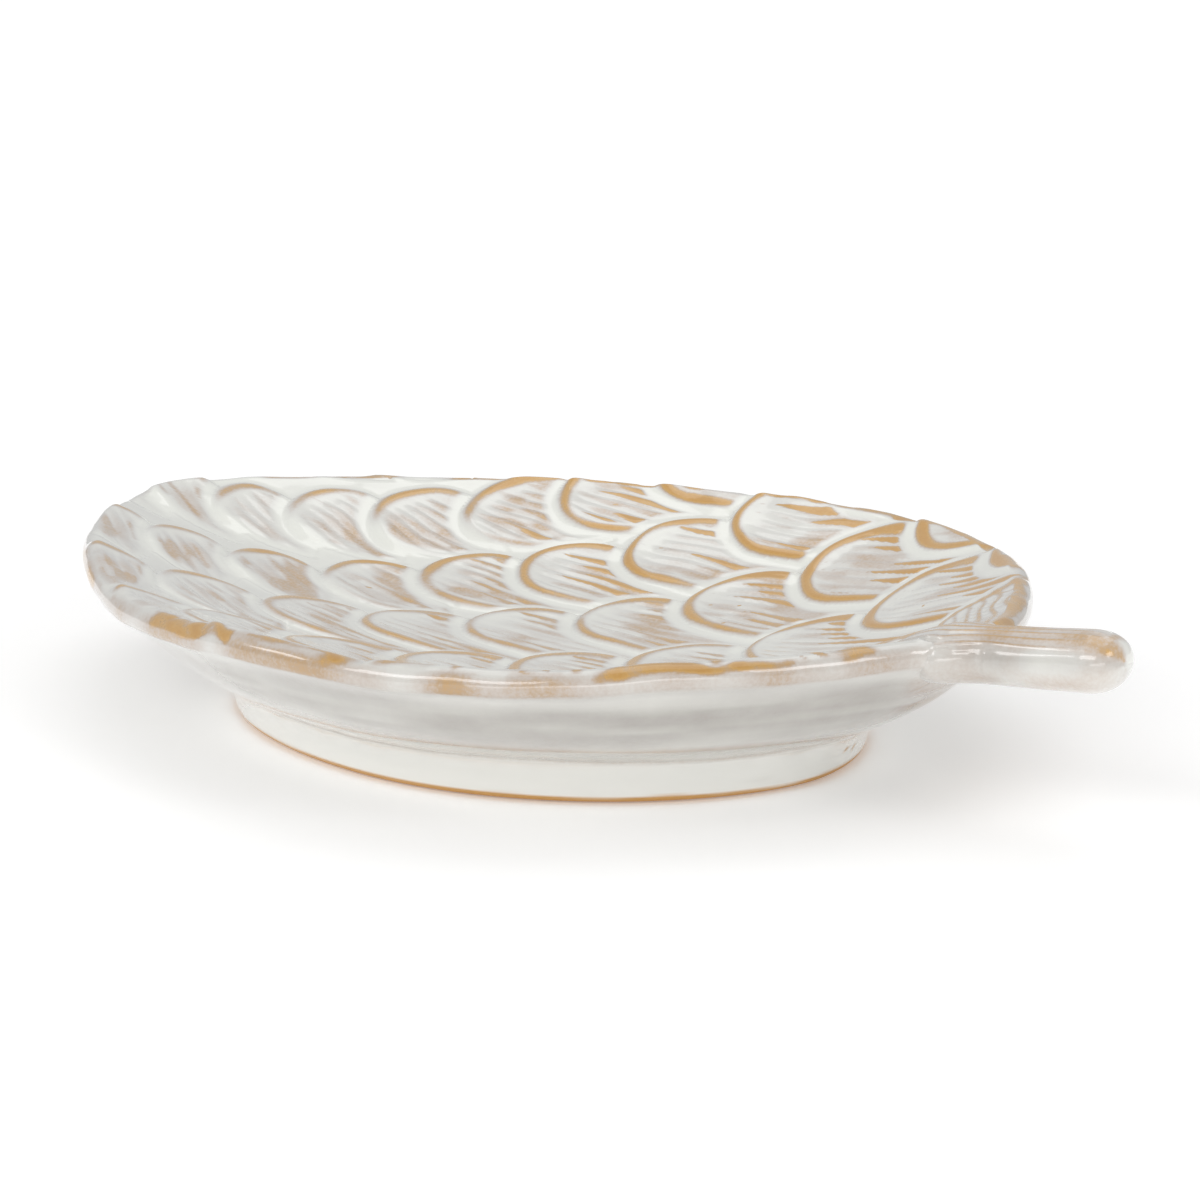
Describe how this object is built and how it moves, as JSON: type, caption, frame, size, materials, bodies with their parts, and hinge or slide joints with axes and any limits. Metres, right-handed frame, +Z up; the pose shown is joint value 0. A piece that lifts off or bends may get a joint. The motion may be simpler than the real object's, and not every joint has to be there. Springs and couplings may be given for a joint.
{
  "type": "pinecone-shaped dish",
  "caption": "Shallow stoneware serving dish shaped like half a pinecone, with overlapping moulded scales inside, a twig-like stem handle and a foot ring.",
  "frame": {"origin": "on the table plane, under the middle of the whole length and width", "axes": "+X from the tip of the cone to the end of the stem, +Z up out of the bowl"},
  "size_m": [0.1983, 0.1322, 0.0297],
  "materials": {
    "glaze": "glossy reactive glaze, tan on raised edges",
    "foot_glaze": "glossy glaze with a bare clay underside",
    "stem_glaze": "glossy reactive glaze, tan on raised edges"
  },
  "bodies": {
    "root": {"bowl": "glaze", "foot_ring": "foot_glaze", "stem_handle": "stem_glaze"}
  },
  "joints": []
}
